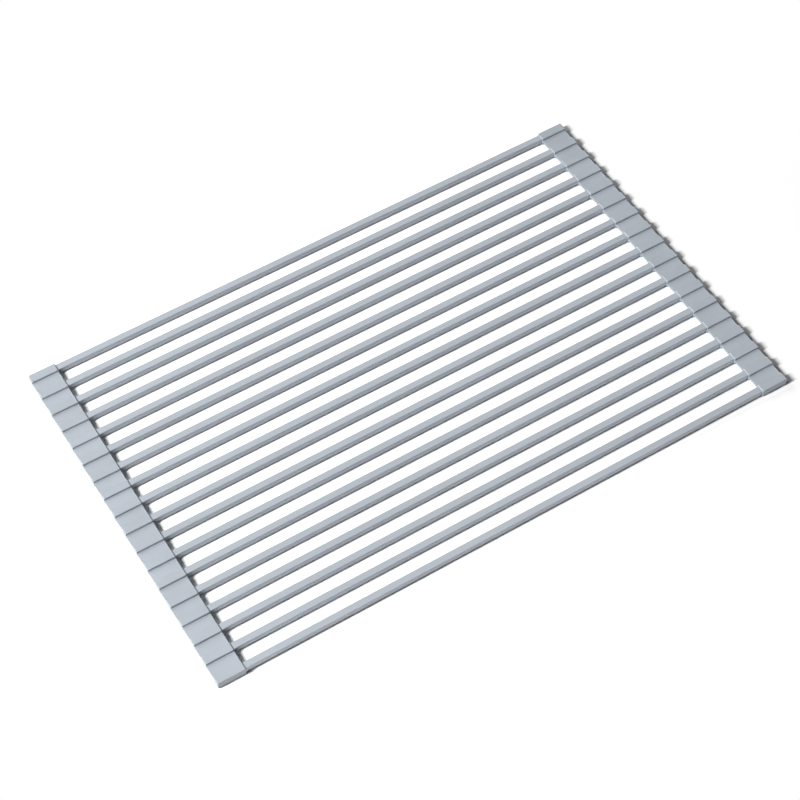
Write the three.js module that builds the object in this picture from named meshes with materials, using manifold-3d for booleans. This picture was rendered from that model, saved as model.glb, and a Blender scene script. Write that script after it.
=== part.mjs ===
// Roll-up dish rack for a sink: parallel rods held at both ends by a flexible strip.
// Each strip is a row of raised square sleeves joined by low thin webs that flex.
// Millimetres, +X along the rods, +Y away from the viewer, +Z up, standing on z = 0.

import * as THREE from "three";
import Module from "manifold-3d";
import { mergeVertices } from "three/addons/utils/BufferGeometryUtils.js";

// Layout
const rodCount = 18;
const rodPitch = 18.9;
const rackLength = 520;

// Rods: a square steel tube with a bonded silicone coat
const rodSide = 6;
const rodCornerRadius = 1;
const rodWall = 1.3;

// End strips
const stripWidth = 24;
const sleeveSide = 8;
const sleeveEdgeRadius = 1;
const sleeveEndWall = 2;
const sleeveEndRounding = 0.6;
const webThickness = 1.8;
const webDrop = 2.3;
const webFilletRadius = 0.5;

// Clearances
const rodClearance = 0.25;
const rodEndClearance = 0.3;
const webGap = 0.5;

// Smoothness of the curves
const cornerSegments = 3;
const noseSegments = 4;
const filletSegments = 1;
const endRoundingSegments = 1;

// Levels and lengths that follow from the sizes above
const sleeveHalf = sleeveSide / 2;
const webTop = sleeveSide - webDrop;
const webBottom = webTop - webThickness;
const webMiddle = (webTop + webBottom) / 2;
const webReach = (rodPitch - webGap) / 2;
const rodLevel = sleeveSide / 2;
const rodLength = rackLength - (sleeveEndWall + rodEndClearance) * 2;
const socketSide = rodSide + rodClearance * 2;
const socketCornerRadius = rodCornerRadius + rodClearance;

// Colours and surfaces
const rodMaterial = { color: "#c0c7d1", roughness: 0.55, metalness: 0 };
const stripMaterial = { color: "#bec7d0", roughness: 0.55, metalness: 0 };

const wasm = await Module();
wasm.setup();

const quarterTurn = Math.PI / 2;
const halfTurn = Math.PI;

// Profile plane: across the rods and up; it is swept along the rods.
const sweepAlongRods = new THREE.Matrix4().makeBasis(
  new THREE.Vector3(0, 1, 0),
  new THREE.Vector3(0, 0, 1),
  new THREE.Vector3(1, 0, 0),
);

function arcPoints(across, up, radius, start, turn, segments) {
  const points = [];
  for (let i = 0; i <= segments; i += 1) {
    const angle = start + (turn * i) / segments;
    points.push(new THREE.Vector2(
      across + radius * Math.cos(angle),
      up + radius * Math.sin(angle),
    ));
  }
  return points;
}

function roundedSquare(side, radius) {
  const reach = side / 2 - radius;
  const corners = [[reach, -reach], [reach, reach], [-reach, reach], [-reach, -reach]];
  return corners.flatMap(([across, up], i) => (
    arcPoints(across, up, radius, (i - 1) * quarterTurn, quarterTurn, cornerSegments)
  ));
}

function sweep(shape, length, rounding) {
  const geometry = new THREE.ExtrudeGeometry(shape, {
    depth: length - rounding * 2,
    bevelEnabled: rounding > 0,
    bevelThickness: rounding,
    bevelSize: rounding,
    bevelOffset: -rounding,
    bevelSegments: endRoundingSegments,
  });
  geometry.translate(0, 0, rounding - length / 2);
  geometry.applyMatrix4(sweepAlongRods);
  return geometry;
}

function toSolid(geometry) {
  const bare = geometry.clone();
  bare.deleteAttribute("normal");
  bare.deleteAttribute("uv");
  const merged = mergeVertices(bare);
  return new wasm.Manifold(new wasm.Mesh({
    numProp: 3,
    vertProperties: new Float32Array(merged.attributes.position.array),
    triVerts: new Uint32Array(merged.index.array),
  }));
}

function toGeometry(solid) {
  const mesh = solid.getMesh();
  const geometry = new THREE.BufferGeometry();
  geometry.setAttribute("position", new THREE.BufferAttribute(mesh.vertProperties, 3));
  geometry.setIndex(new THREE.BufferAttribute(mesh.triVerts, 1));
  geometry.computeVertexNormals();
  return geometry;
}

// Half of a web on the +Y side of a sleeve, from its lower fillet round the nose to its upper fillet.
function webOutline() {
  const filletAcross = sleeveHalf + webFilletRadius;
  return [
    ...arcPoints(
      filletAcross, webBottom - webFilletRadius, webFilletRadius,
      halfTurn, -quarterTurn, filletSegments,
    ),
    ...arcPoints(
      webReach - webThickness / 2, webMiddle, webThickness / 2,
      -quarterTurn, halfTurn, noseSegments,
    ),
    ...arcPoints(
      filletAcross, webTop + webFilletRadius, webFilletRadius,
      -quarterTurn, -quarterTurn, filletSegments,
    ),
  ];
}

// One side of a link's cross-section, upwards; the other side is its mirror image downwards.
function linkSide(hasWeb) {
  const cornerAcross = sleeveHalf - sleeveEdgeRadius;
  return [
    ...arcPoints(
      cornerAcross, sleeveEdgeRadius, sleeveEdgeRadius,
      -quarterTurn, quarterTurn, cornerSegments,
    ),
    ...(hasWeb ? webOutline() : []),
    ...arcPoints(
      cornerAcross, sleeveSide - sleeveEdgeRadius, sleeveEdgeRadius,
      0, quarterTurn, cornerSegments,
    ),
  ];
}

// A link of the left strip: sleeve, closed outer end, rod socket open to +X, and its web halves.
function stripLinkGeometry(hasFarWeb, hasNearWeb) {
  const farSide = linkSide(hasFarWeb);
  const nearSide = linkSide(hasNearWeb).map((point) => new THREE.Vector2(-point.x, point.y)).reverse();
  const outline = new THREE.Shape([...farSide, ...nearSide]);
  const body = toSolid(sweep(outline, stripWidth, sleeveEndRounding));
  const socket = sweep(new THREE.Shape(roundedSquare(socketSide, socketCornerRadius)), stripWidth, 0);
  socket.translate(sleeveEndWall, 0, rodLevel);
  return toGeometry(body.subtract(toSolid(socket)));
}

function rodGeometry() {
  const shape = new THREE.Shape(roundedSquare(rodSide, rodCornerRadius));
  const boreRadius = rodSide / 2 - rodWall;
  const bore = new THREE.Path();
  bore.absarc(0, 0, boreRadius, 0, halfTurn * 2, true);
  shape.holes.push(bore);
  return toGeometry(toSolid(sweep(shape, rodLength, 0)));
}

function namedMesh(name, geometry, material) {
  const mesh = new THREE.Mesh(geometry, new THREE.MeshStandardMaterial({ ...material, flatShading: true }));
  mesh.name = name;
  return mesh;
}

const rod = rodGeometry();
const farEndLink = stripLinkGeometry(false, true);
const middleLink = stripLinkGeometry(true, true);
const nearEndLink = stripLinkGeometry(true, false);

function addRod(link, number) {
  const mesh = namedMesh(`rod_${number}`, rod, rodMaterial);
  mesh.position.z = rodLevel;
  link.add(mesh);
}

function addLeftStripLink(link, number, geometry) {
  const mesh = namedMesh(`left_strip_link_${number}`, geometry, stripMaterial);
  mesh.position.x = (stripWidth - rackLength) / 2;
  link.add(mesh);
}

function addRightStripLink(link, number, geometry) {
  const mesh = namedMesh(`right_strip_link_${number}`, geometry, stripMaterial);
  mesh.position.x = (rackLength - stripWidth) / 2;
  mesh.rotation.z = halfTurn;
  link.add(mesh);
}

// Link 1 is the farthest; the strips bend between one link and the next.
function linkGroup(index) {
  const link = new THREE.Group();
  const number = String(index + 1).padStart(2, "0");
  const isFirst = index === 0;
  const isLast = index === rodCount - 1;
  link.position.y = ((rodCount - 1) / 2 - index) * rodPitch;
  addRod(link, number);
  if (isFirst) {
    addLeftStripLink(link, number, farEndLink);
    addRightStripLink(link, number, nearEndLink);
  } else if (isLast) {
    addLeftStripLink(link, number, nearEndLink);
    addRightStripLink(link, number, farEndLink);
  } else {
    addLeftStripLink(link, number, middleLink);
    addRightStripLink(link, number, middleLink);
  }
  return link;
}

const rack = new THREE.Group();
rack.name = "roll_up_dish_rack";
for (let index = 0; index < rodCount; index += 1) {
  rack.add(linkGroup(index));
}

export default rack;
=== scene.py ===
"""Roll-up over-sink dish rack: silicone-coated rods between two flexible silicone strips.

The CAD model is the frame. Every CAD node is stood for by a finer piece with the same main sizes, and the
webs, which the CAD model splits where they bend, are whole pieces here.
"""

import math

import bpy
from mathutils import Matrix, Vector


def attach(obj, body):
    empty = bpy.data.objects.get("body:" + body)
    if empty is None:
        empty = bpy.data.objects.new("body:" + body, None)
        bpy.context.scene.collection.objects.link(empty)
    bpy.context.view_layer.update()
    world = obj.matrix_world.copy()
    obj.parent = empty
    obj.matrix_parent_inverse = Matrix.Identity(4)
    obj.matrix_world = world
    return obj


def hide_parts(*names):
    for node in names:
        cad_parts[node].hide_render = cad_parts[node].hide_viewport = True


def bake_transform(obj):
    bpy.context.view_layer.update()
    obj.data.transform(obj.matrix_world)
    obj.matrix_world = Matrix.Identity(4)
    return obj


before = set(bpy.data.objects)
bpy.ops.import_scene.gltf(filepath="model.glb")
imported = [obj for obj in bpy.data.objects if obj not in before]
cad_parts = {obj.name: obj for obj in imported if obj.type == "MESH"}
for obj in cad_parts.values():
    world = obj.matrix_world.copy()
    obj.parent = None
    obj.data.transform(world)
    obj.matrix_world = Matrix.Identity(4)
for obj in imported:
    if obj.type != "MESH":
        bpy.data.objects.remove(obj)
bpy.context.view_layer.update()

MM = 0.001

# Sizes, as in the CAD model apart from small roundings and the clearance in the sockets
ROD_COUNT = 18
PITCH = 18.9 * MM
LENGTH = 520 * MM
ROD_SIDE = 6 * MM
ROD_RADIUS = 0.6 * MM
STRIP_WIDTH = 24 * MM
SLEEVE_SIDE = 8 * MM
SLEEVE_RADIUS = 0.6 * MM
LOWER_EDGE_RADIUS = 1.6 * MM
END_WALL = 2 * MM
END_CLEARANCE = 0.3 * MM
END_ROUNDING = 0.7 * MM
MOUTH_ROUNDING = 0.75 * MM
SOCKET_CLEARANCE = 0.12 * MM
WEB_THICKNESS = 1.8 * MM
WEB_DROP = 2.3 * MM
WEB_FILLET = 0.3 * MM
WEB_EDGE_RADIUS = 0.25 * MM
WEB_SIDE_INSET = 0.03 * MM
WEB_ROOT = 0.4 * MM  # how far a web reaches into its sleeves

# Mesh fineness; SUPPORT is the distance of the extra points beside each rounded corner
CORNER_STEPS = 6
ROUNDING_STEPS = 4
FILLET_STEPS = 4
WEB_STEPS = 24
ROD_STEPS = 40
SUPPORT = 0.12 * MM

# Camera, fitted to the edges of the rack in the photo
CAMERA_PLACE = (-0.47147, -0.84361, 1.34878)
CAMERA_ELEVATION = math.radians(54.849)
CAMERA_AZIMUTH = math.radians(28.91)
CAMERA_ROLL = math.radians(-2.572)
CAMERA_LENS = 91.851
SENSOR_WIDTH = 36.0
CAMERA_CLIP_END = 50.0

# Light: place, width and height, and power of each lamp; all are aimed at the origin
LAMPS = {
    "key_left": ((-2.57, 0.0, 2.52), (0.6, 1.3), 123.0),
    "rim_back": ((-1.1, 2.3, 2.55), (1.3, 1.3), 19.0),
    "rim_left": ((-2.39, 2.39, 1.23), (1.5, 1.5), 20.0),
}
WORLD_STRENGTH = 0.0

# Floor: sRGB tint, how bright the camera sees it, and where its shadows fade out
FLOOR_HALF = 4.0
FLOOR_TINT = (252, 252, 252)
FLOOR_SEEN_WHITE = 1.5
SHADOW_FADE_START = 0.32
SHADOW_FADE_END = 0.44

# Silicone: sRGB tint, its mottling, dust and sheen; noise scales are in cycles per metre
SILICONE_TINT = (193, 201, 210)
MOTTLE = {"scale": 22.0, "detail": 3.0, "roughness": 0.55}
MOTTLE_LIGHT = 1.05
MOTTLE_DARK = 0.94
SPECKS = {"scale": 900.0, "detail": 2.0, "roughness": 0.5}
SPECKS_FROM = 0.68
SPECKS_FULL = 0.76
SPECKS_STRENGTH = 0.35
DUST = (0.82, 0.84, 0.86, 1.0)
SHEEN_PATCHES = {"scale": 60.0, "detail": 4.0, "roughness": 0.6}
SILICONE_ROUGHNESS = (0.46, 0.62)
GRAIN = {"scale": 2600.0, "detail": 4.0, "roughness": 0.65}
GRAIN_BUMP = (0.18, 0.06 * MM)
WAVES = {"scale": 45.0, "detail": 2.0, "roughness": 0.5}
WAVES_BUMP = (0.04, 0.4 * MM)
SPECULAR_LEVEL = 0.5
COAT_ROUGHNESS = 0.2
COAT_IOR = 1.5
SHEEN_WEIGHT = 0.08
SHEEN_ROUGHNESS = 0.5
ROD_COAT = 0.7
STRIP_COAT = 0.0
ROD_STREAKS = (0.25, 1.0, 1.0)
STRIP_STREAKS = (1.0, 1.0, 1.0)

# Painted shade in the recesses, darker where ambient occlusion finds them sheltered: strong low down, thin
# above, none on the tops
PAINTED_SHADE_COLOUR = (0.2, 0.22, 0.25, 1.0)
PAINTED_SHADE_STRENGTH = 0.9
PAINTED_SHADE_OPEN = 1.0
PAINTED_SHADE_SHELTERED = 0.3
PAINTED_SHADE_SAMPLES = 8
PAINTED_SHADE_REACH = 3.5 * MM
PAINTED_SHADE_FULL_BELOW = 1.8 * MM
PAINTED_SHADE_THIN_ABOVE = 3.6 * MM
PAINTED_SHADE_THIN = 0.35
PAINTED_SHADE_CLEAR_START = 7.0 * MM
PAINTED_SHADE_CLEAR_END = 7.7 * MM


def linear(tint):
    """Scene-linear colour of an sRGB tint from 0 to 255."""
    channels = []
    for value in tint:
        share = value / 255
        if share <= 0.04045:
            channels.append(share / 12.92)
        else:
            channels.append(((share + 0.055) / 1.055) ** 2.4)
    return (*channels, 1.0)


# Meshes


def rounded_outline(half, upper_radius, lower_radius):
    """Points (across, up) round a square with rounded corners, with a support point beside every corner."""
    points = []
    for quarter, (side_x, side_y) in enumerate(((1, -1), (1, 1), (-1, 1), (-1, -1))):
        radius = lower_radius if side_y < 0 else upper_radius
        flat = half - radius
        start = (quarter - 1) * math.pi / 2
        corner = []
        for step in range(CORNER_STEPS + 1):
            angle = start + math.pi / 2 * step / CORNER_STEPS
            corner.append(Vector((
                side_x * flat + radius * math.cos(angle),
                side_y * flat + radius * math.sin(angle),
            )))
        lead = Vector((math.sin(start), -math.cos(start)))
        trail = Vector((-math.sin(start + math.pi / 2), math.cos(start + math.pi / 2)))
        points.append(corner[0] + lead * SUPPORT)
        points += corner
        points.append(corner[-1] + trail * SUPPORT)
    return points


def ring(x, half, up, upper_radius, lower_radius):
    """One ring of a sweep along X."""
    return [Vector((x, p.x, p.y + up)) for p in rounded_outline(half, upper_radius, lower_radius)]


def mesh_object(name, vertices, faces, smooth=True):
    """A mesh object in the scene's collection."""
    mesh = bpy.data.meshes.new(name)
    mesh.from_pydata([tuple(v) for v in vertices], [], faces)
    mesh.update()
    for polygon in mesh.polygons:
        polygon.use_smooth = smooth
    piece = bpy.data.objects.new(name, mesh)
    bpy.context.scene.collection.objects.link(piece)
    return piece


def loft(name, rings):
    """Closed skin through the rings, with a fan over each end."""
    count = len(rings[0])
    vertices = [v for one in rings for v in one]
    faces = []
    for i in range(len(rings) - 1):
        low, high = i * count, (i + 1) * count
        for j in range(count):
            k = (j + 1) % count
            faces.append((low + j, low + k, high + k, high + j))
    first = len(vertices)
    vertices.append(sum(rings[0], Vector()) / count)
    vertices.append(sum(rings[-1], Vector()) / count)
    last = (len(rings) - 1) * count
    for j in range(count):
        k = (j + 1) % count
        faces.append((first, k, j))
        faces.append((first + 1, last + j, last + k))
    return mesh_object(name, vertices, faces)


def rounding_steps(depth):
    """(distance from the end, inset) pairs of a rounded end, from its side to its face."""
    pairs = []
    for step in range(ROUNDING_STEPS + 1):
        angle = math.pi / 2 * step / ROUNDING_STEPS
        pairs.append((depth * (1 - math.sin(angle)), depth * (1 - math.cos(angle))))
    return pairs


def sleeve(name, side, across):
    """A square sleeve round a rod's end: closed and rounded outside, with the rod's socket inside."""
    half = SLEEVE_SIDE / 2
    outer_end = side * LENGTH / 2
    inner_end = side * (LENGTH / 2 - STRIP_WIDTH)
    rings = []

    def add(distance_from_outer, inset):
        rings.append(ring(
            outer_end - side * distance_from_outer, half - inset, half,
            max(SLEEVE_RADIUS - inset, SUPPORT), LOWER_EDGE_RADIUS - inset,
        ))

    add(0, END_ROUNDING + SUPPORT)
    for distance, inset in reversed(rounding_steps(END_ROUNDING)):
        add(distance, inset)
    add(END_ROUNDING + SUPPORT, 0)
    add(STRIP_WIDTH / 2, 0)
    add(STRIP_WIDTH - MOUTH_ROUNDING - SUPPORT, 0)
    for distance, inset in rounding_steps(MOUTH_ROUNDING):
        add(STRIP_WIDTH - distance, inset)
    add(STRIP_WIDTH, MOUTH_ROUNDING + SUPPORT / 2)
    socket_half = ROD_SIDE / 2 + SOCKET_CLEARANCE
    socket_radius = ROD_RADIUS + SOCKET_CLEARANCE
    rings.append(ring(inner_end, socket_half, half, socket_radius, LOWER_EDGE_RADIUS))
    rings.append(ring(outer_end - side * END_WALL, socket_half, half, socket_radius, LOWER_EDGE_RADIUS))
    if side > 0:
        rings.reverse()
    piece = loft(name, rings)
    piece.data.transform(Matrix.Translation((0, across, 0)))
    return piece


def rod(name, across):
    """A square rod with rounded corners, as long as the CAD rod."""
    half_length = LENGTH / 2 - END_WALL - END_CLEARANCE
    rings = []
    for step in range(ROD_STEPS + 1):
        x = -half_length + 2 * half_length * step / ROD_STEPS
        rings.append(ring(x, ROD_SIDE / 2, SLEEVE_SIDE / 2, ROD_RADIUS, LOWER_EDGE_RADIUS))
    piece = loft(name, rings)
    piece.data.transform(Matrix.Translation((0, across, 0)))
    return piece


def web_section(y, bottom, top, low_x, high_x):
    """One ring of a web: a flat bar's section with rounded edges, at one place across the rack."""
    radius = WEB_EDGE_RADIUS
    corners = (
        (low_x + radius, bottom + radius, math.pi),
        (high_x - radius, bottom + radius, 1.5 * math.pi),
        (high_x - radius, top - radius, 0),
        (low_x + radius, top - radius, 0.5 * math.pi),
    )
    points = []
    for x, z, start in corners:
        before = Vector((-math.cos(start + math.pi / 2), -math.sin(start + math.pi / 2)))
        after = Vector((-math.sin(start + math.pi / 2), math.cos(start + math.pi / 2)))
        arc = []
        for step in range(CORNER_STEPS + 1):
            angle = start + math.pi / 2 * step / CORNER_STEPS
            arc.append(Vector((x + radius * math.cos(angle), z + radius * math.sin(angle))))
        points.append(arc[0] + before * SUPPORT)
        points += arc
        points.append(arc[-1] + after * SUPPORT)
    return [Vector((p.x, y, p.y)) for p in points]


def web(name, side, middle):
    """The thin web between two sleeves, with a fillet at each; the real web bends about its middle."""
    top = SLEEVE_SIDE - WEB_DROP
    bottom = top - WEB_THICKNESS
    span = (PITCH - SLEEVE_SIDE) / 2
    outer = side * (LENGTH / 2 - WEB_SIDE_INSET)
    inner = side * (LENGTH / 2 - STRIP_WIDTH + WEB_SIDE_INSET)
    ends = sorted((outer, inner))
    stations = [(span + WEB_ROOT, WEB_FILLET)]
    for step in range(FILLET_STEPS + 1):
        angle = math.pi / 2 * step / FILLET_STEPS
        stations.append((span - WEB_FILLET * (1 - math.cos(angle)), WEB_FILLET * (1 - math.sin(angle))))
    flat = span - WEB_FILLET
    half = stations[:-1] + [(flat, 0)]
    whole = [(-y, rise) for y, rise in half]
    whole += [(-flat + 2 * flat * step / WEB_STEPS, 0) for step in range(1, WEB_STEPS)]
    whole += [(y, rise) for y, rise in reversed(half)]
    rings = [web_section(middle + y, bottom - rise, top + rise, *ends) for y, rise in whole]
    rings.reverse()
    return loft(name, rings)


# Materials


def new_material(name):
    """A new material, its node tree and its Principled shader."""
    material = bpy.data.materials.new(name)
    material.use_nodes = True
    tree = material.node_tree
    tree.nodes.clear()
    output = tree.nodes.new("ShaderNodeOutputMaterial")
    shader = tree.nodes.new("ShaderNodeBsdfPrincipled")
    tree.links.new(shader.outputs["BSDF"], output.inputs["Surface"])
    return material, tree, shader


def noise(tree, coordinates, scale, detail, roughness):
    """The value of a noise texture."""
    node = tree.nodes.new("ShaderNodeTexNoise")
    node.inputs["Scale"].default_value = scale
    node.inputs["Detail"].default_value = detail
    node.inputs["Roughness"].default_value = roughness
    tree.links.new(coordinates, node.inputs["Vector"])
    return node.outputs["Fac"]


def spread(tree, value, low, high, least=0.3, most=0.7):
    """value from least..most mapped to low..high."""
    node = tree.nodes.new("ShaderNodeMapRange")
    node.inputs["From Min"].default_value = least
    node.inputs["From Max"].default_value = most
    node.inputs["To Min"].default_value = low
    node.inputs["To Max"].default_value = high
    tree.links.new(value, node.inputs["Value"])
    return node.outputs["Result"]


def product(tree, first, second):
    """The product of two outputs."""
    node = tree.nodes.new("ShaderNodeMath")
    node.operation = "MULTIPLY"
    tree.links.new(first, node.inputs[0])
    tree.links.new(second, node.inputs[1])
    return node.outputs[0]


def mix_colour(tree, factor, first, second):
    """Mix of two colours, each an output or a value."""
    node = tree.nodes.new("ShaderNodeMix")
    node.data_type = "RGBA"
    tree.links.new(factor, node.inputs["Factor"])
    for socket, colour in ((node.inputs[6], first), (node.inputs[7], second)):
        if isinstance(colour, tuple):
            socket.default_value = colour
        else:
            tree.links.new(colour, socket)
    return node.outputs[2]


def bump(tree, height, strength, distance):
    """A bump node over the given height."""
    node = tree.nodes.new("ShaderNodeBump")
    node.inputs["Strength"].default_value = strength
    node.inputs["Distance"].default_value = distance
    tree.links.new(height, node.inputs["Height"])
    return node


def painted_shade_factor(tree, coordinates):
    """How much painted shade the surface gets: where it is sheltered, most of all low down and not on the
    tops.
    """
    shelter = tree.nodes.new("ShaderNodeAmbientOcclusion")
    shelter.samples = PAINTED_SHADE_SAMPLES
    shelter.inputs["Distance"].default_value = PAINTED_SHADE_REACH
    place = tree.nodes.new("ShaderNodeSeparateXYZ")
    tree.links.new(coordinates, place.inputs["Vector"])
    height = place.outputs["Z"]
    sheltered = spread(
        tree, shelter.outputs["AO"], PAINTED_SHADE_STRENGTH, 0.0, PAINTED_SHADE_SHELTERED, PAINTED_SHADE_OPEN,
    )
    low_down = spread(tree, height, 1.0, PAINTED_SHADE_THIN, PAINTED_SHADE_FULL_BELOW, PAINTED_SHADE_THIN_ABOVE)
    under_top = spread(tree, height, 1.0, 0.0, PAINTED_SHADE_CLEAR_START, PAINTED_SHADE_CLEAR_END)
    return product(tree, product(tree, sheltered, low_down), under_top)


def silicone(name, streaks, coat):
    """Matte moulded silicone: faint mottling, fine grain, dust specks, painted shade in the recesses and
    slightly uneven sheen.
    """
    material, tree, shader = new_material(name)
    coordinates = tree.nodes.new("ShaderNodeTexCoord").outputs["Object"]
    mapping = tree.nodes.new("ShaderNodeMapping")
    mapping.inputs["Scale"].default_value = streaks
    tree.links.new(coordinates, mapping.inputs["Vector"])
    stretched = mapping.outputs["Vector"]

    base = linear(SILICONE_TINT)[:3]
    light = (*(min(1.0, channel * MOTTLE_LIGHT) for channel in base), 1.0)
    dark = (*(channel * MOTTLE_DARK for channel in base), 1.0)
    mottle = spread(tree, noise(tree, stretched, **MOTTLE), 0.0, 1.0)
    patches = mix_colour(tree, mottle, dark, light)
    specks = noise(tree, coordinates, **SPECKS)
    dust = spread(tree, specks, 0.0, SPECKS_STRENGTH, SPECKS_FROM, SPECKS_FULL)
    dusty = mix_colour(tree, dust, patches, DUST)
    # painted shade: the colour is darkened where the surface is sheltered, most of all low down
    colour = mix_colour(tree, painted_shade_factor(tree, coordinates), dusty, PAINTED_SHADE_COLOUR)
    tree.links.new(colour, shader.inputs["Base Color"])

    sheen_patches = noise(tree, stretched, **SHEEN_PATCHES)
    tree.links.new(spread(tree, sheen_patches, *SILICONE_ROUGHNESS), shader.inputs["Roughness"])

    fine = bump(tree, noise(tree, coordinates, **GRAIN), *GRAIN_BUMP)
    broad = bump(tree, noise(tree, stretched, **WAVES), *WAVES_BUMP)
    tree.links.new(fine.outputs["Normal"], broad.inputs["Normal"])
    tree.links.new(broad.outputs["Normal"], shader.inputs["Normal"])

    shader.inputs["Specular IOR Level"].default_value = SPECULAR_LEVEL
    shader.inputs["Coat Weight"].default_value = coat
    shader.inputs["Coat Roughness"].default_value = COAT_ROUGHNESS
    shader.inputs["Coat IOR"].default_value = COAT_IOR
    shader.inputs["Sheen Weight"].default_value = SHEEN_WEIGHT
    shader.inputs["Sheen Roughness"].default_value = SHEEN_ROUGHNESS
    return material


def floor_material():
    """White floor; the camera and reflections see it a little brighter, and plain white away from the rack."""
    material, tree, shader = new_material("floor_white")
    shader.inputs["Roughness"].default_value = 1.0
    shader.inputs["Specular IOR Level"].default_value = 0.0
    shader.inputs["Base Color"].default_value = linear(FLOOR_TINT)
    bright = tree.nodes.new("ShaderNodeBsdfDiffuse")
    bright.inputs["Color"].default_value = (FLOOR_SEEN_WHITE, FLOOR_SEEN_WHITE, FLOOR_SEEN_WHITE, 1.0)
    plain = tree.nodes.new("ShaderNodeEmission")
    coordinates = tree.nodes.new("ShaderNodeTexCoord").outputs["Object"]
    distance = tree.nodes.new("ShaderNodeVectorMath")
    distance.operation = "LENGTH"
    tree.links.new(coordinates, distance.inputs[0])
    fade = tree.nodes.new("ShaderNodeMapRange")
    fade.interpolation_type = "SMOOTHSTEP"
    fade.inputs["From Min"].default_value = SHADOW_FADE_START
    fade.inputs["From Max"].default_value = SHADOW_FADE_END
    tree.links.new(distance.outputs["Value"], fade.inputs["Value"])
    seen = tree.nodes.new("ShaderNodeMixShader")
    tree.links.new(fade.outputs["Result"], seen.inputs["Fac"])
    tree.links.new(bright.outputs["BSDF"], seen.inputs[1])
    tree.links.new(plain.outputs["Emission"], seen.inputs[2])
    tree.links.new(seen_directly(tree, seen.outputs[0], shader.outputs["BSDF"]),
                   tree.nodes["Material Output"].inputs["Surface"])
    return material


def seen_directly(tree, for_eyes, for_light):
    """A shader that camera, glossy and transmission rays see as for_eyes and other rays as for_light."""
    path = tree.nodes.new("ShaderNodeLightPath")
    either = tree.nodes.new("ShaderNodeMath")
    either.operation = "MAXIMUM"
    tree.links.new(path.outputs["Is Camera Ray"], either.inputs[0])
    tree.links.new(path.outputs["Is Glossy Ray"], either.inputs[1])
    any_of = tree.nodes.new("ShaderNodeMath")
    any_of.operation = "MAXIMUM"
    tree.links.new(either.outputs[0], any_of.inputs[0])
    tree.links.new(path.outputs["Is Transmission Ray"], any_of.inputs[1])
    mix = tree.nodes.new("ShaderNodeMixShader")
    tree.links.new(any_of.outputs[0], mix.inputs["Fac"])
    tree.links.new(for_light, mix.inputs[1])
    tree.links.new(for_eyes, mix.inputs[2])
    return mix.outputs[0]


# The rack

strip_material = silicone("strip_silicone", STRIP_STREAKS, STRIP_COAT)
rod_material = silicone("rod_coat_silicone", ROD_STREAKS, ROD_COAT)


def link_across(index):
    """Place of link index (0 is the farthest) across the rack."""
    return ((ROD_COUNT - 1) / 2 - index) * PITCH


for index in range(ROD_COUNT):
    number = f"{index + 1:02d}"
    body = f"link_{number}"
    bar = rod(f"coated_rod_{number}", link_across(index))
    bar.data.materials.append(rod_material)
    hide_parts(f"rod_{number}")
    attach(bar, body)
    for side, word in ((-1, "left"), (1, "right")):
        end_piece = sleeve(f"{word}_sleeve_{number}", side, link_across(index))
        end_piece.data.materials.append(strip_material)
        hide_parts(f"{word}_strip_link_{number}")
        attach(end_piece, body)

for index in range(ROD_COUNT - 1):
    middle = (link_across(index) + link_across(index + 1)) / 2
    for side, word in ((-1, "left"), (1, "right")):
        flexing = web(f"{word}_web_{index + 1:02d}", side, middle)
        flexing.data.materials.append(strip_material)
        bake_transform(flexing)

# Stage

floor_corners = ((-1, -1), (1, -1), (1, 1), (-1, 1))
floor = mesh_object(
    "floor",
    [Vector((x * FLOOR_HALF, y * FLOOR_HALF, 0)) for x, y in floor_corners],
    [(0, 1, 2, 3)],
    smooth=False,
)
floor.data.materials.append(floor_material())

world = bpy.data.worlds.new("studio")
bpy.context.scene.world = world
world.use_nodes = True
sky = world.node_tree
sky.nodes.clear()
sky_output = sky.nodes.new("ShaderNodeOutputWorld")
fill = sky.nodes.new("ShaderNodeBackground")
fill.inputs["Color"].default_value = (1.0, 1.0, 1.0, 1.0)
fill.inputs["Strength"].default_value = WORLD_STRENGTH
backdrop = sky.nodes.new("ShaderNodeBackground")
backdrop.inputs["Color"].default_value = (1.0, 1.0, 1.0, 1.0)
sky.links.new(seen_directly(sky, backdrop.outputs[0], fill.outputs[0]), sky_output.inputs["Surface"])

for name, (place, (width, height), power) in LAMPS.items():
    lamp_data = bpy.data.lights.new(name, "AREA")
    lamp_data.shape = "ELLIPSE"
    lamp_data.size = width
    lamp_data.size_y = height
    lamp_data.energy = power
    lamp = bpy.data.objects.new(name, lamp_data)
    lamp.location = place
    lamp.rotation_euler = (-Vector(place)).to_track_quat("-Z", "Y").to_euler()
    bpy.context.scene.collection.objects.link(lamp)

# Camera

forward = Vector((
    math.cos(CAMERA_ELEVATION) * math.sin(CAMERA_AZIMUTH),
    math.cos(CAMERA_ELEVATION) * math.cos(CAMERA_AZIMUTH),
    -math.sin(CAMERA_ELEVATION),
))
level_right = Vector((math.cos(CAMERA_AZIMUTH), -math.sin(CAMERA_AZIMUTH), 0))
level_up = level_right.cross(forward)
right = level_right * math.cos(CAMERA_ROLL) + level_up * math.sin(CAMERA_ROLL)
up = level_up * math.cos(CAMERA_ROLL) - level_right * math.sin(CAMERA_ROLL)
camera_data = bpy.data.cameras.new("camera")
camera_data.lens = CAMERA_LENS
camera_data.sensor_fit = "HORIZONTAL"
camera_data.sensor_width = SENSOR_WIDTH
camera_data.clip_end = CAMERA_CLIP_END
camera = bpy.data.objects.new("camera", camera_data)
turn = Matrix((right, up, -forward)).transposed().to_4x4()
camera.matrix_world = Matrix.Translation(CAMERA_PLACE) @ turn
bpy.context.scene.collection.objects.link(camera)
bpy.context.scene.camera = camera

bpy.context.scene.view_settings.view_transform = "Standard"
